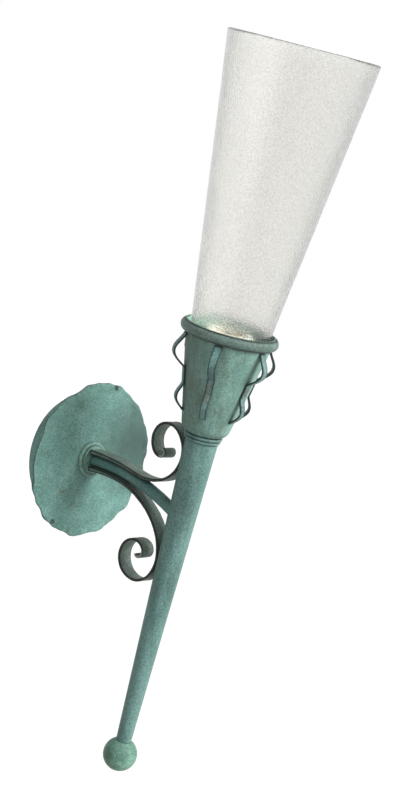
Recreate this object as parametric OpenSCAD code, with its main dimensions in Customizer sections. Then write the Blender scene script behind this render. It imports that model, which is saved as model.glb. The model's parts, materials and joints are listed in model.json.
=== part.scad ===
// Torch sconce: a scrolled arm carries a tapered torch with a wavy-strapped cup and a glass shade.
// Wall plane at y = 0, the sconce stands out towards -Y, +Z is up.
// Origin: centre of the mounting bar's wall side. All sizes in mm.

/* [Torch placing] */
// Lean of the torch away from the wall at its top, degrees
torch_tilt = 10; // [8:0.5:12]
// Distance from the wall to the torch axis at the height of the arm's wall end
torch_reach = 138; // [134:1:144]

/* [Wall side] */
// Mean diameter of the wavy wall plate
plate_d = 131; // [122:1:142]
// Sheet thickness of the wavy wall plate
plate_t = 1.6; // [1.2:0.2:2.4]
// How strongly the plate's edge is waved (1 = as forged)
plate_wave = 1; // [0.4:0.1:1.4]
// Radius with which the plate's outer zone is bent back towards the wall
plate_bend_r = 90; // [70:5:140]
// Outside diameter of the canopy pan
pan_d = 106; // [104:1:112]
// Depth of the canopy pan from the wall
pan_depth = 18; // [16:1:24]
// Sheet thickness of the canopy pan
pan_t = 1.2; // [0.8:0.1:1.6]
// Rounding of the canopy pan's front edge
pan_round = 5; // [3:0.5:6]
// Diameter of the collar where the arm starts
boss_d = 31; // [29:0.5:36]
// Height of the collar above the plate
boss_h = 3.9; // [3:0.1:6]

/* [Mounting bar] */
// Distance between the box screws
box_spacing = 88.9; // [88.9:0.1:88.9]
// Half the width of the slots for the box screws
slot_r = 2.25; // [2:0.05:2.4]
// End-to-end length of the slots
slot_len = 8.4; // [6:0.2:8.6]
// Width of the mounting bar
bar_w = 16; // [14:0.5:17]
// Thickness of the mounting bar
bar_t = 2; // [1.5:0.1:2.5]
// Radius of the side screws that hold the pan
side_screw_r = 1.95; // [1.5:0.05:2.4]

/* [Arm] */
// Outside diameter of the arm tube
tube_d = 10.4; // [9.6:0.1:11]
// Wall thickness of the arm tube
tube_t = 1.2; // [1:0.1:1.4]
// Radius of the arm tube's bend
arm_r = 223; // [210:1:240]
// Width of the scrolled bars
bar_width = 13.4; // [12:0.2:15]
// Thickness of the scrolled bars at the wall end
bar_t_start = 4; // [3.2:0.1:4.6]
// Thickness of the scrolled bars in their curls
bar_t_end = 2.2; // [1.8:0.1:2.6]

/* [Torch shaft] */
// Outside radius of the shaft at its top
shaft_r_top = 13.5; // [12.5:0.1:14.2]
// Outside radius of the shaft at its lower end
shaft_r_end = 6.45; // [6:0.05:8]
// Height of the shaft's top along the torch axis
shaft_top = 40; // [34:1:44]
// Depth of the shaft's lower end along the torch axis
shaft_end = -228; // [-250:1:-200]
// Wall thickness of the shaft
shaft_t = 1.6; // [1.2:0.1:2]
// Radius of the ball finial
ball_r = 14.4; // [11:0.2:18]

/* [Cup] */
// Height of the neck collar between shaft and cup
neck_h = 6; // [5:0.5:9]
// Outside radius of the cup at its top edge
cup_r_top = 36.8; // [35.5:0.1:38.5]
// Outside radius of the cup where its straight side starts
cup_r_low = 20; // [19.6:0.1:21]
// Height of the cup
cup_h = 88.4; // [86:0.2:92]
// Rounding of the cup's bottom shoulder
cup_round = 8; // [6:0.5:8]
// Sheet thickness of the cup
cup_t = 1.4; // [1:0.1:1.8]
// Height of the half-round rim
rim_h = 9.5; // [8:0.1:11]
// How far the half-round rim stands out of the cup
rim_out = 4; // [3:0.1:4.4]

/* [Wavy straps] */
// Number of the wavy straps
strap_count = 6; // [6:1:6]
// Width of a strap at its top
strap_w_top = 6.6; // [5:0.5:9]
// Width of a strap at its lower end
strap_w_low = 5.2; // [4:0.2:7]
// Height of a strap's lower end above the cup's bottom
strap_foot = 16.5; // [12:0.5:20]
// Thickness of a strap
strap_t = 1.5; // [1:0.1:2]
// Height of the upper wave above the cup
wave_1 = 9.4; // [5:0.2:10]
// Height of the lower wave above the cup
wave_2 = 6; // [3:0.2:7]

/* [Glass shade] */
// Outside radius of the glass at its mouth
glass_r_top = 60; // [56:0.5:64]
// Outside radius of the glass at its foot
glass_r_foot = 30.4; // [30:0.1:30.6]
// Length of the glass along the torch axis
glass_len = 238; // [200:1:270]
// Wall thickness of the glass
glass_t = 3; // [2.4:0.1:4]
// Height of the glass foot above the cup's bottom
glass_seat = 72; // [70:0.5:74]

/* [Lampholder] */
// Inside radius of the threaded shell for the lamp
lamp_r = 13.5; // [13.3:0.05:13.6]
// Depth of the threaded shell
lamp_depth = 25; // [22:0.5:26]
// Radius of the porcelain body's head
holder_r = 20; // [19:0.5:22]
// Depth of the lampholder's top below the cup's edge
holder_below = 3.4; // [1:0.2:6]

/* [Threaded tubes and leads] */
// Outside radius of the threaded tubes
nipple_r = 5; // [4.8:0.05:5.1]
// Bore radius of the threaded tubes
nipple_bore_r = 3.4; // [3.2:0.05:3.5]
// Radius of a supply lead
lead_r = 0.9; // [0.7:0.05:1]

/* [Hidden] */
quarter_turn = 90;
// radial clearance of parts screwed or pushed together
fit_gap = 0.03;
// clearance of a part that only passes through a hole
pass_gap = 0.3;
// seam left where forged pieces are welded side by side
seam_gap = 0.01;
// clearance between a lead and its terminal
lead_gap = 0.3;

// --- wall side, heights measured out from the wall ---
bar_half = pan_d / 2 - pan_t - 1;
ear_t = 1.5;
ear_h = 12;
side_screw_z = pan_depth / 2;
side_head_r = 4.5;
side_head_l = 5;
bar_wire_r = 6;
ground_z = -22;
ground_r = 1.8;
ground_head_r = 4;
ground_head_h = 3;
pan_flat_r = pan_d / 2 - pan_round;
plate_flat_r = pan_flat_r;
// sheet beyond the mean edge, before the waves are cut
plate_spare = 10;
plate_front = pan_depth + plate_t;
boss_face = plate_front + boss_h;
boss_step_r = boss_d / 2 - 2.8;
boss_step_h = boss_h * 0.6;
boss_edge = 1.2;
nut_flats = 14;
nut_h = 3.2;
washer_t = 1.2;
washer_r = 11;
wall_nipple_back = 4;
pan_inside = pan_depth - pan_t;
// waves of the plate's edge: count round the edge, height, phase
edge_waves = [[1, 1.9, 8], [2, 2, -107], [3, 0.4, -67], [5, 0.4, -32], [6, 0.3, -93], [9, 0.3, 160],
    [13, 0.6, -165]];
edge_step = 2;
plate_cut_h = 40;

// --- shaft ---
shaft_slope = (shaft_r_top - shaft_r_end) / (shaft_top - shaft_end);
function shaft_r(s) = shaft_r_end + shaft_slope * (s - shaft_end);
function shaft_in(s) = shaft_r(s) - shaft_t;
plug_l = 12;
stud_r = 3;
stud_l = 10;
ball_s = shaft_end - sqrt(ball_r * ball_r - shaft_r_end * shaft_r_end);

// --- arm: points are [distance from the wall, height] ---
bore_r = tube_d / 2 - tube_t;
axis_dir = [sin(torch_tilt), cos(torch_tilt)];
axis_side = [-cos(torch_tilt), sin(torch_tilt)];
function axis_pt(s) = [torch_reach, 0] + s * axis_dir;
// the shaft's wall side is a straight line in the arm's plane
line_a = axis_pt(0) + shaft_r(0) * axis_side;
line_b = axis_pt(shaft_end) + shaft_r(shaft_end) * axis_side;
line_dir = (line_a - line_b) / norm(line_a - line_b);
line_out = [line_dir[1], -line_dir[0]];
// angle of the bend at which the tube's centre line meets the shaft
bend_c = [boss_face, -arm_r];
line_turn = atan2(line_out[0], line_out[1]);
arm_end_a = line_turn - acos(((line_a - bend_c) * line_out) / arm_r);
arm_cut_a = arm_end_a + 3;

// scrolled bars: angle for which each lies on the tube, then [turn, radius] along the bar's outer face
upper_lie = 14;
lower_lie = 9;
upper_curve = [[0, 70], [25, 46], [60, 29], [100, 23.5], [145, 22.5], [195, 17.5], [245, 16], [290, 16],
    [330, 13.3], [365, 9], [400, 5.7], [450, 4], [600, 3.2]];
lower_curve = [[0, 95], [25, 76], [60, 40], [100, 27], [145, 25], [195, 21], [245, 16.6], [290, 16.7],
    [330, 17.7], [365, 13.4], [400, 9.2], [450, 6.6], [540, 4.8], [600, 4]];
// how deep each curl's outer face is let into the round of the shaft
upper_sink = 3;
lower_sink = 1.6;
lie_steps = 20;
taper_steps = 28;
turn_step = 6;

function last_of(list) = list[len(list) - 1];
function lie_pt(side, a) = bend_c + (arm_r + side * (tube_d / 2 + seam_gap)) * [sin(a), cos(a)];
function curl_steps(curve) = round(last_of(curve)[0] / turn_step);
// free curl, from the point where the bar leaves the tube
function curl(side, lie, curve) =
    let (n = curl_steps(curve), d = last_of(curve)[0] / n)
    [for (i = 0, p = [0, 0]; i <= n;
        p = p + lookup((i + 0.5) * d, curve) * d * PI / 180
            * [cos(side * (i + 0.5) * d - lie), sin(side * (i + 0.5) * d - lie)],
        i = i + 1) p];
// size of the curl at which its outer face reaches the shaft
function curl_scale(side, lie, curve, sink) =
    ((line_a - lie_pt(side, lie)) * line_out + sink) / max([for (q = curl(side, lie, curve)) q * line_out]);
function bar_base(side, lie, curve, sink) =
    let (k = curl_scale(side, lie, curve, sink), q = curl(side, lie, curve))
    concat([for (i = [0:lie_steps - 1]) lie_pt(side, lie * i / lie_steps)],
        [for (p = q) lie_pt(side, lie) + k * p]);
function bar_heading(side, lie, curve) =
    let (n = curl_steps(curve), d = last_of(curve)[0] / n)
    concat([for (i = [0:lie_steps - 1]) -lie * i / lie_steps], [for (i = [0:n]) side * i * d - lie]);
function bar_t(i) = bar_t_end + (bar_t_start - bar_t_end) * max(0, 1 - i / taper_steps);
function bar_top(side, base, heading) =
    [for (i = [0:len(base) - 1]) base[i] + side * bar_t(i) * [-sin(heading[i]), cos(heading[i])]];
function backwards(list) = [for (i = [len(list) - 1:-1:0]) list[i]];

// --- cup, heights along the torch axis ---
cup_base = shaft_top + neck_h;
cup_top = cup_base + cup_h;
bead_r = neck_h / 4;
neck_spigot = 10;
// straight side: starts at the shoulder's tangent point
side_guess = (cup_r_top - cup_r_low) / (cup_h - 6.4);
side_a = atan(side_guess);
shoulder_s = cup_base + cup_round * (1 - sin(side_a));
cup_slope = (cup_r_top - cup_r_low) / (cup_top - shoulder_s);
slope_a = atan(cup_slope);
shoulder_c = [cup_r_low - cup_round * cos(slope_a), cup_base + cup_round];
function cup_r(s) = cup_r_low + cup_slope * (s - shoulder_s);
cup_wall = cup_t / cos(slope_a);
function cup_in(s) = cup_r(s) - cup_wall;
rim_mid = cup_top - rim_h / 2 + 0.1;
rim_deep = (rim_h * rim_h / 4 - rim_out * rim_out) / (2 * rim_out);
rim_r = rim_out + rim_deep;

// --- straps: waves as start, length and height along the cup's side ---
strap_top = rim_mid - rim_h / 2 - 0.6;
strap_end = cup_base + strap_foot;
strap_long = strap_top - strap_end;
wave_1_from = 0.01;
wave_1_len = 0.43;
wave_2_from = 0.645;
wave_2_len = 0.345;
// a wave's crest lies nearer to its lower end, and its feet are short
wave_lean = 1.25;
wave_full = 1.1;
// small turns round the cup, left from fitting the straps by hand
strap_turns = [6, -7, 0, 0, 0, 2];
strap_steps = 56;
function bump(x) = x <= 0 || x >= 1 ? 0 : pow(sin(180 * pow(x, wave_lean)), wave_full);
function strap_lift(x) =
    wave_1 * bump((x - wave_1_from) / wave_1_len) + wave_2 * bump((x - wave_2_from) / wave_2_len);
function strap_pt(i) =
    let (x = i / strap_steps, s = strap_top - strap_long * x)
    [cup_r(s) + (seam_gap + strap_lift(x)) * cos(slope_a), s];
function strap_dir(i) = let (d = strap_pt(i + 1) - strap_pt(i - 1)) d / norm(d);

// --- glass and its seat ---
glass_foot = cup_base + glass_seat;
glass_top = glass_foot + glass_len;
glass_slope = (glass_r_top - glass_r_foot) / glass_len;
glass_wall = glass_t / cos(atan(glass_slope));
gasket_t = 1;
seat_t = 1.5;
seat_top = glass_foot - gasket_t;
seat_in_r = 24;
seat_lip_in = glass_r_foot + 0.6;
seat_lip_h = 4.4;
seat_gap = 0.12;

// --- lampholder, heights along the torch axis ---
holder_top = cup_top - holder_below;
shell_t = 0.5;
shell_r = lamp_r + shell_t;
shell_top = holder_top - 4;
shell_low = shell_top - lamp_depth - 0.8;
flange_t = 0.8;
flange_in = 7;
web_t = 4;
well_h = 2.4;
web_low = shell_low - well_h - web_t;
cavity_h = 13;
body_low = web_low - cavity_h;
cavity_r = 11.5;
foot_r = holder_r - 1.5;
head_low = shell_low;
body_round = 2;
cap_t = 2.4;
cap_bush_r = 8;
cap_bush_l = 8;
cap_low = body_low - cap_t;
holder_screw_y = 15;
holder_screw_r = 1.4;
holder_screw_in = 7;
holder_head_r = 2.7;
holder_head_h = 2;
contact_r = 5;
contact_t = 0.9;
contact_dome_r = 3;
contact_dome_h = 1.1;
contact_shank_r = 2;
strip_t = 1.2;
strip_w = 5;
term_x = 8.6;
term_r = 1.5;
term_head_r = 2.4;
term_head_h = 2;
term_drop = strip_t + 2 * lead_r + 2 * fit_gap;
term_in = web_t - 0.5;
nipple_low = shaft_top - neck_spigot + 1;
nipple_top = body_low - 0.5;
cup_floor = cup_base + cup_t;

// --- leads ---
lead_x = 1.3;
lead_back = 0.6;
lead_bend = 7;
lead_turn = quarter_turn - torch_tilt + arm_end_a;
lead_side_bend = 3;
// a curved run of a lead is thinner by a hair and reaches this far into the straight ones
lead_thin = 0.04;
lead_lap = 0.15;
lead_side_s = web_low - term_drop + fit_gap + lead_r;
// straight run from the tube's end to the bend, so that the bend ends on the torch axis
arm_end_pt = bend_c + arm_r * [sin(arm_end_a), cos(arm_end_a)];
arm_end_dir = [cos(arm_end_a), -sin(arm_end_a)];
bend_move = lead_bend * [cos(torch_tilt) + sin(arm_end_a), cos(arm_end_a) - sin(torch_tilt)];
lead_run = ((arm_end_pt + bend_move - axis_pt(0)) * axis_side) / -(arm_end_dir * axis_side);
bend_start = arm_end_pt + lead_run * arm_end_dir;
bend_stop = bend_start + bend_move;
bend_stop_s = (bend_stop - axis_pt(0)) * axis_dir;

// Every node of the part
// Node to draw

// ---------- frames ----------

// local z points out from the wall, local y is up
module wall_frame(out = 0) {
    translate([0, -out, 0]) rotate([90, 0, 0]) children();
}

// local x points out from the wall, local y is up
module arm_plane() {
    rotate([90, 0, -90]) children();
}

// local z runs along the torch
module torch_frame(s = 0) {
    translate([0, -torch_reach, 0]) rotate([torch_tilt, 0, 0]) translate([0, 0, s]) children();
}

// ---------- shared shapes ----------

// ring or disc: outside radius, bore radius, height
module ring(r, bore, h) {
    difference() {
        cylinder(r = r, h = h, $fn = 96);
        translate([0, 0, -1]) cylinder(r = bore, h = h + 2, $fn = 96);
    }
}

module hex_nut() {
    difference() {
        cylinder(r = nut_flats / 2 / cos(30), h = nut_h, $fn = 6);
        translate([0, 0, -1]) cylinder(r = nipple_r + fit_gap, h = nut_h + 2, $fn = 64);
    }
}

// full round body of the shaft between two heights, with a radial change
module shaft_solid(from, to, grow) {
    rotate_extrude($fn = 96)
        polygon([[0, from], [shaft_r(from) + grow, from], [shaft_r(to) + grow, to], [0, to]]);
}

// round rod that follows the arm's bend
module arm_sweep(r, a_from, a_to) {
    arm_plane() translate([bend_c[0], bend_c[1], 0]) rotate([0, 0, 90 - a_to])
        rotate_extrude(angle = a_to - a_from, $fn = 360)
            translate([arm_r, 0]) circle(r = r, $fn = 64);
}

// scrolled bar, coped where it meets the shaft
module scroll_bar(side, lie, curve, sink) {
    base = bar_base(side, lie, curve, sink);
    top = bar_top(side, base, bar_heading(side, lie, curve));
    difference() {
        arm_plane() linear_extrude(height = bar_width, center = true) polygon(concat(base, backwards(top)));
        torch_frame() shaft_solid(shaft_end, shaft_top, seam_gap);
    }
}

// ---------- wall side ----------

module mounting_bar() {
    color("silver") wall_frame() difference() {
        union() {
            translate([-bar_w / 2, -bar_half, 0]) cube([bar_w, 2 * bar_half, bar_t]);
            for (m = [0, 1]) mirror([0, m, 0])
                translate([-bar_w / 2, bar_half - ear_t, 0]) cube([bar_w, ear_t, ear_h]);
        }
        for (m = [0, 1]) mirror([0, m, 0]) {
            translate([0, box_spacing / 2, -1]) linear_extrude(height = bar_t + 2) union() {
                translate([0, slot_len / 2 - slot_r]) circle(r = slot_r, $fn = 48);
                translate([0, slot_r - slot_len / 2]) circle(r = slot_r, $fn = 48);
                square([2 * slot_r, slot_len - 2 * slot_r], center = true);
            }
            translate([0, bar_half - ear_t - 1, side_screw_z]) rotate([-90, 0, 0])
                cylinder(r = side_screw_r + fit_gap, h = ear_t + 2, $fn = 48);
        }
        translate([0, 0, -1]) cylinder(r = bar_wire_r, h = bar_t + 2, $fn = 64);
        translate([0, ground_z, -1]) cylinder(r = ground_r + fit_gap, h = bar_t + 2, $fn = 48);
    }
}

module canopy_screws() {
    color("dimgray") wall_frame() for (m = [0, 1]) mirror([0, m, 0])
        translate([0, 0, side_screw_z]) rotate([-90, 0, 0]) {
            translate([0, 0, bar_half - ear_t - 2])
                cylinder(r = side_screw_r, h = pan_d / 2 + seam_gap - bar_half + ear_t + 2, $fn = 48);
            translate([0, 0, pan_d / 2 + seam_gap]) cylinder(r = side_head_r, h = side_head_l, $fn = 48);
        }
}

module ground_screw() {
    color("green") wall_frame() translate([0, ground_z, 0]) {
        translate([0, 0, fit_gap]) cylinder(r = ground_r, h = bar_t, $fn = 48);
        translate([0, 0, bar_t]) cylinder(r = ground_head_r, h = ground_head_h, $fn = 6);
    }
}

// half section of the pan's outside or inside
module pan_half(shrink) {
    r = pan_d / 2 - shrink;
    e = pan_round - shrink;
    d = pan_depth - shrink;
    translate([0, -1]) square([r, d - e + 1]);
    square([r - e, d]);
    translate([r - e, d - e]) intersection() {
        circle(r = e, $fn = 64);
        square([e, e]);
    }
}

module canopy_pan() {
    color("darkslategray") wall_frame() difference() {
        rotate_extrude($fn = 180) difference() {
            intersection() {
                pan_half(0);
                square([pan_d, pan_depth + 1]);
            }
            pan_half(pan_t);
        }
        translate([0, 0, pan_inside - 1]) cylinder(r = nipple_r + pass_gap, h = pan_t + 2, $fn = 64);
        for (m = [0, 1]) mirror([0, m, 0]) translate([0, bar_half, side_screw_z]) rotate([-90, 0, 0])
            cylinder(r = side_screw_r + pass_gap, h = pan_t + 4, $fn = 48);
    }
}

function edge_r(a) = plate_d / 2
    + plate_wave * [for (w = edge_waves) w[1]] * [for (w = edge_waves) cos(w[0] * a + w[2])];

module wavy_plate() {
    color("cadetblue") wall_frame() difference() {
        intersection() {
            rotate_extrude($fn = 180) union() {
                translate([0, pan_depth]) square([plate_flat_r, plate_t]);
                intersection() {
                    translate([plate_flat_r, pan_depth - plate_bend_r]) difference() {
                        circle(r = plate_bend_r + plate_t, $fn = 360);
                        circle(r = plate_bend_r, $fn = 360);
                    }
                    translate([plate_flat_r, 0]) square([plate_d / 2 - plate_flat_r + plate_spare, plate_front]);
                }
            }
            linear_extrude(height = plate_cut_h)
                polygon([for (a = [0:edge_step:360 - edge_step]) edge_r(a) * [cos(a), sin(a)]]);
        }
        translate([0, 0, pan_depth - 1]) cylinder(r = nipple_r + pass_gap, h = plate_t + 2, $fn = 64);
    }
}

module boss_collar() {
    color("cadetblue") wall_frame(plate_front) difference() {
        union() {
            rotate_extrude($fn = 96) union() {
                square([boss_d / 2 - boss_edge, boss_step_h]);
                square([boss_d / 2, boss_step_h - boss_edge]);
                translate([boss_d / 2 - boss_edge, boss_step_h - boss_edge]) intersection() {
                    circle(r = boss_edge, $fn = 48);
                    square([boss_edge, boss_edge]);
                }
            }
            cylinder(r = boss_step_r, h = boss_h, $fn = 96);
        }
        translate([0, 0, -1]) cylinder(r = nipple_r + fit_gap, h = boss_h + 2, $fn = 64);
    }
}

module wall_nipple() {
    color("goldenrod") wall_frame(wall_nipple_back)
        ring(nipple_r, nipple_bore_r, boss_face - wall_nipple_back - 0.2);
}

module wall_washer() {
    color("silver") wall_frame(pan_inside - washer_t) ring(washer_r, nipple_r + pass_gap, washer_t);
}

module wall_nut() {
    color("silver") wall_frame(pan_inside - washer_t - nut_h) hex_nut();
}

// ---------- arm ----------

module arm_tube() {
    color("darkslategray") difference() {
        arm_sweep(tube_d / 2, 0, arm_cut_a);
        arm_sweep(bore_r, -1, arm_cut_a + 1);
        torch_frame() shaft_solid(shaft_end, shaft_top, 0);
    }
}

module upper_scroll() {
    color("slategray") scroll_bar(1, upper_lie, upper_curve, upper_sink);
}

module lower_scroll() {
    color("slategray") scroll_bar(-1, lower_lie, lower_curve, lower_sink);
}

// ---------- torch ----------

module shaft() {
    color("cadetblue") difference() {
        torch_frame() rotate_extrude($fn = 96) polygon([[shaft_in(shaft_end), shaft_end],
            [shaft_r_end, shaft_end], [shaft_r_top, shaft_top], [shaft_in(shaft_top), shaft_top]]);
        arm_sweep(bore_r, 0, arm_cut_a);
    }
}

module finial_stud() {
    color("dimgray") torch_frame() union() {
        shaft_solid(shaft_end, shaft_end + plug_l, -shaft_t - fit_gap);
        translate([0, 0, shaft_end - stud_l]) cylinder(r = stud_r, h = stud_l + plug_l / 2, $fn = 48);
    }
}

module ball_finial() {
    color("cadetblue") torch_frame() difference() {
        translate([0, 0, ball_s]) sphere(r = ball_r, $fn = 96);
        translate([0, 0, shaft_end]) cylinder(r = ball_r, h = ball_r, $fn = 48);
        translate([0, 0, shaft_end - stud_l - fit_gap])
            cylinder(r = stud_r + fit_gap, h = stud_l + 1, $fn = 48);
    }
}

module neck_collar() {
    color("cadetblue") torch_frame() difference() {
        union() {
            shaft_solid(shaft_top - neck_spigot, shaft_top, -shaft_t - fit_gap);
            translate([0, 0, shaft_top]) rotate_extrude($fn = 96) {
                square([shaft_r_top, neck_h]);
                translate([shaft_r_top, bead_r]) circle(r = bead_r, $fn = 48);
                translate([shaft_r_top + bead_r * 0.6, 3 * bead_r]) circle(r = bead_r, $fn = 48);
                translate([0, 2 * bead_r]) square([shaft_r_top + bead_r * 0.6, 2 * bead_r]);
            }
        }
        translate([0, 0, shaft_top - neck_spigot - 1])
            cylinder(r = nipple_r + fit_gap, h = neck_spigot + neck_h + 2, $fn = 64);
    }
}

module torch_nipple() {
    color("goldenrod") torch_frame(nipple_low) ring(nipple_r, nipple_bore_r, nipple_top - nipple_low);
}

// half section of the cup's outside or inside
module cup_half(shrink, top) {
    wall = shrink / cos(slope_a);
    e = cup_round - shrink;
    // the straight side, down to the shoulder's tangent point
    polygon([[0, shoulder_c[1] - e * sin(slope_a)],
        [shoulder_c[0] + e * cos(slope_a), shoulder_c[1] - e * sin(slope_a)],
        [cup_r(top) - wall, top], [0, top]]);
    // the rounded shoulder and the flat bottom
    intersection() {
        union() {
            translate(shoulder_c) circle(r = e, $fn = 96);
            square([shoulder_c[0], cup_top]);
        }
        translate([0, cup_base + shrink]) square([cup_r_low, cup_round - shrink - e * sin(slope_a)]);
    }
}

module cup() {
    color("cadetblue") torch_frame() difference() {
        rotate_extrude($fn = 144) difference() {
            cup_half(0, cup_top);
            cup_half(cup_t, cup_top + 1);
        }
        translate([0, 0, cup_base - 1]) cylinder(r = nipple_r + pass_gap, h = cup_t + 2, $fn = 64);
    }
}

module cup_washer() {
    color("silver") torch_frame(cup_floor) ring(washer_r, nipple_r + pass_gap, washer_t);
}

module cup_nut() {
    color("silver") torch_frame(cup_floor + washer_t) hex_nut();
}

module cup_rim() {
    color("slategray") torch_frame() rotate_extrude($fn = 144) difference() {
        translate([cup_r(rim_mid) - rim_deep, rim_mid]) circle(r = rim_r, $fn = 96);
        polygon([[0, rim_mid - rim_h], [cup_r(rim_mid - rim_h), rim_mid - rim_h],
            [cup_r(rim_mid + rim_h), rim_mid + rim_h], [0, rim_mid + rim_h]]);
    }
}

// strap number n, counted from the side away from the wall
module wavy_strap(n) {
    inner = [for (i = [0:strap_steps]) strap_pt(i)];
    outer = [for (i = [0:strap_steps]) let (d = strap_dir(i)) strap_pt(i) + strap_t * [-d[1], d[0]]];
    turn = 360 / strap_count * (n - 1) - 90 + strap_turns[n - 1];
    far = cup_r_top + wave_1 + strap_t + 1;
    color("slategray") torch_frame() rotate([0, 0, turn]) intersection() {
        rotate([90, 0, 0]) linear_extrude(height = strap_w_top + 1, center = true)
            polygon(concat(inner, backwards(outer)));
        rotate([90, 0, 90]) linear_extrude(height = far) polygon([
            [-strap_w_low / 2, strap_end - strap_t], [strap_w_low / 2, strap_end - strap_t],
            [strap_w_top / 2, strap_top + strap_t], [-strap_w_top / 2, strap_top + strap_t]]);
    }
}

// ---------- glass and seat ----------

module seat_ring() {
    color("silver") torch_frame() rotate_extrude($fn = 144) polygon([
        [seat_in_r, seat_top - seat_t],
        [cup_in(seat_top - seat_t) - seat_gap, seat_top - seat_t],
        [cup_in(seat_top + seat_lip_h) - seat_gap, seat_top + seat_lip_h],
        [cup_in(seat_top + seat_lip_h) - seat_gap - seat_t * 0.6, seat_top + seat_lip_h],
        [seat_lip_in, seat_top + 1],
        [seat_lip_in, seat_top],
        [seat_in_r, seat_top]]);
}

module seat_gasket() {
    color("dimgray") torch_frame(seat_top)
        ring(glass_r_foot, glass_r_foot - glass_t - 1, gasket_t);
}

module glass_shade() {
    color([0.9, 0.91, 0.9, 0.6]) torch_frame() rotate_extrude($fn = 180) {
        polygon([[glass_r_foot - glass_wall, glass_foot], [glass_r_foot, glass_foot],
            [glass_r_top, glass_top], [glass_r_top - glass_wall, glass_top]]);
        translate([glass_r_top - glass_wall / 2, glass_top]) circle(r = glass_t / 2, $fn = 48);
    }
}

// ---------- lampholder ----------

module holder_cap() {
    color("silver") torch_frame() difference() {
        union() {
            translate([0, 0, cap_low]) cylinder(r = foot_r, h = cap_t, $fn = 96);
            translate([0, 0, body_low - cap_bush_l]) cylinder(r = cap_bush_r, h = cap_bush_l, $fn = 64);
        }
        translate([0, 0, body_low - cap_bush_l - 1])
            cylinder(r = nipple_r + fit_gap, h = cap_bush_l + 2, $fn = 64);
        for (m = [0, 1]) mirror([0, m, 0]) translate([0, holder_screw_y, cap_low - 1])
            cylinder(r = holder_screw_r + pass_gap, h = cap_t + 2, $fn = 32);
    }
}

module holder_screws() {
    color("silver") torch_frame() for (m = [0, 1]) mirror([0, m, 0]) translate([0, holder_screw_y, 0]) {
        translate([0, 0, cap_low]) cylinder(r = holder_screw_r, h = cap_t + holder_screw_in, $fn = 32);
        translate([0, 0, cap_low - holder_head_h]) cylinder(r = holder_head_r, h = holder_head_h, $fn = 32);
    }
}

module holder_body() {
    color("ivory") torch_frame() difference() {
        rotate_extrude($fn = 144) {
            translate([0, body_low]) square([foot_r, head_low - body_low]);
            translate([0, head_low]) square([holder_r, holder_top - head_low - body_round]);
            square_low = holder_top - body_round;
            translate([0, square_low]) square([holder_r - body_round, body_round]);
            translate([holder_r - body_round, square_low]) intersection() {
                circle(r = body_round, $fn = 48);
                square([body_round, body_round]);
            }
        }
        translate([0, 0, shell_low]) cylinder(r = shell_r + fit_gap, h = holder_top, $fn = 96);
        translate([0, 0, body_low - 1]) cylinder(r = cavity_r, h = cavity_h + 1, $fn = 96);
        translate([0, 0, web_low + web_t]) cylinder(r = flange_in, h = holder_top, $fn = 64);
        translate([0, 0, web_low - 1]) cylinder(r = contact_shank_r + fit_gap, h = web_t + 2, $fn = 32);
        translate([-term_x, 0, web_low - 1]) cylinder(r = term_r + fit_gap, h = term_in + 1, $fn = 32);
        translate([term_x, 0, web_low - 1]) cylinder(r = term_r + fit_gap, h = web_t + well_h + 2, $fn = 32);
        for (m = [0, 1]) mirror([0, m, 0]) translate([0, holder_screw_y, body_low - 1])
            cylinder(r = holder_screw_r + fit_gap, h = holder_screw_in + 1.5, $fn = 32);
    }
}

module screw_shell() {
    color("goldenrod") torch_frame() difference() {
        translate([0, 0, shell_low]) cylinder(r = shell_r, h = shell_top - shell_low, $fn = 96);
        translate([0, 0, shell_low + flange_t]) cylinder(r = lamp_r, h = holder_top, $fn = 96);
        translate([0, 0, shell_low - 1]) cylinder(r = flange_in, h = holder_top, $fn = 64);
        translate([term_x, 0, shell_low - 1]) cylinder(r = term_r + fit_gap, h = flange_t + 2, $fn = 32);
    }
}

// domed contact in the well, with a strip below that reaches the black lead's terminal
module centre_contact() {
    color("goldenrod") torch_frame() difference() {
        union() {
            translate([-term_x - strip_w / 2, -strip_w / 2, web_low - strip_t])
                cube([term_x + strip_w, strip_w, strip_t]);
            translate([0, 0, web_low - strip_t / 2])
                cylinder(r = contact_shank_r, h = web_t + strip_t, $fn = 32);
            translate([0, 0, web_low + web_t]) cylinder(r = contact_r, h = contact_t, $fn = 48);
            translate([0, 0, web_low + web_t + contact_t])
                cylinder(r = contact_dome_r, h = contact_dome_h, $fn = 48);
        }
        translate([-term_x, 0, web_low - strip_t - 1])
            cylinder(r = term_r + fit_gap, h = strip_t + 2, $fn = 32);
    }
}

// the black lead's screw ends in the porcelain, the white lead's reaches the shell's flange
module terminal_screw(x, reach) {
    translate([x, 0, web_low - term_drop]) {
        cylinder(r = term_r, h = term_drop + reach, $fn = 32);
        translate([0, 0, -term_head_h]) cylinder(r = term_head_r, h = term_head_h, $fn = 32);
    }
}

module terminal_screws() {
    color("goldenrod") torch_frame() {
        terminal_screw(-term_x, term_in - 0.5);
        terminal_screw(term_x, web_t + well_h + flange_t - 0.1);
    }
}

// ---------- leads ----------

// straight run of a lead from a point of the arm's plane
module lead_straight(pt, heading, len) {
    translate([pt[0], pt[1], 0]) rotate([0, 0, heading]) rotate([0, quarter_turn, 0])
        cylinder(r = lead_r, h = len, $fn = 24);
}

// curved run of a lead about a centre in the arm's plane
module lead_curve(centre, radius, from, turn) {
    lap = lead_lap / radius * 180 / PI;
    translate([centre[0], centre[1], 0]) rotate([0, 0, from - lap])
        rotate_extrude(angle = turn + 2 * lap, $fn = 360)
            translate([radius, 0]) circle(r = lead_r - lead_thin, $fn = 24);
}

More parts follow.
